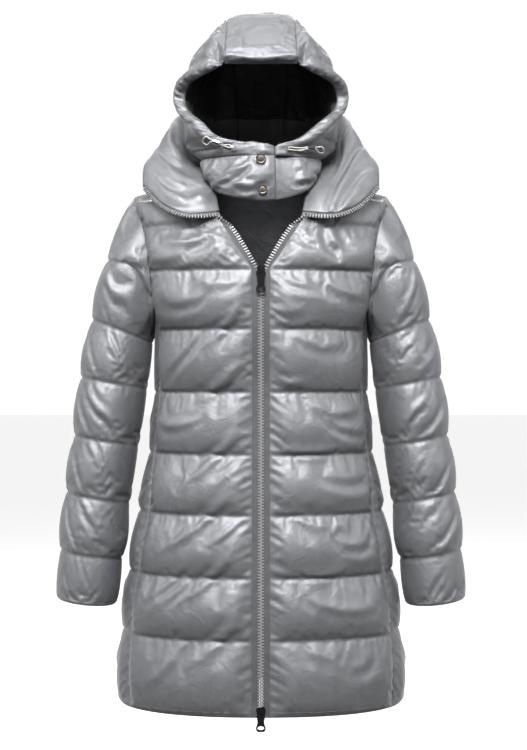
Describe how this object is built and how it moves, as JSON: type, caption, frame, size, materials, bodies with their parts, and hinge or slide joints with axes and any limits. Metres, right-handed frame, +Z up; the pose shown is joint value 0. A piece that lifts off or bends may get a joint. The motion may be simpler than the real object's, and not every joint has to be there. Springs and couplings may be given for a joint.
{
  "type": "puffer jacket",
  "caption": "Hooded quilted puffer jacket in grey satin, thigh length, filled out with no wearer: wide open collar, snapped chin guard, zip with pull tabs, hood cords with toggles.",
  "frame": {"origin": "middle of the neck at the height of the shoulders, where a wearer's neck holds the jacket", "axes": "+Z up, the front of the jacket faces -Y, +X towards the wearer's left sleeve"},
  "size_m": [0.6138, 0.2802, 1.0483],
  "materials": {
    "shell": "satin",
    "tape": "matte",
    "zip_metal": "gloss",
    "snap_metal": "satin",
    "toggle_metal": "gloss",
    "cord": "matte"
  },
  "bodies": {
    "jacket": {"front_left": "shell", "front_right": "shell", "back": "shell", "side_left": "shell", "side_right": "shell", "sleeve_left": "shell", "sleeve_right": "shell", "collar": "shell", "hood_center": "shell", "hood_left": "shell", "hood_right": "shell", "guard_left": "shell", "guard_right": "shell", "zip_left": "tape", "zip_right": "tape", "buttonhole_left": "tape", "buttonhole_right": "tape", "slider_top": "zip_metal", "slider_bottom": "zip_metal", "snap_upper": "snap_metal", "snap_lower": "snap_metal", "toggle_left": "toggle_metal", "toggle_right": "toggle_metal", "cord_left": "cord", "cord_right": "cord"},
    "top_pull": {"pull_top": "zip_metal"},
    "bottom_pull": {"pull_bottom": "zip_metal"}
  },
  "joints": [
    {"name": "top_pull_swing", "type": "hinge", "parent": "jacket", "child": "top_pull", "pos_m": [0, -0.11783, -0.14979], "axis": [-1, 0, 0], "range_deg": [0, 150]},
    {"name": "bottom_pull_swing", "type": "hinge", "parent": "jacket", "child": "bottom_pull", "pos_m": [0, -0.13758, -0.7694], "axis": [-1, 0, 0], "range_deg": [0, 150]}
  ]
}
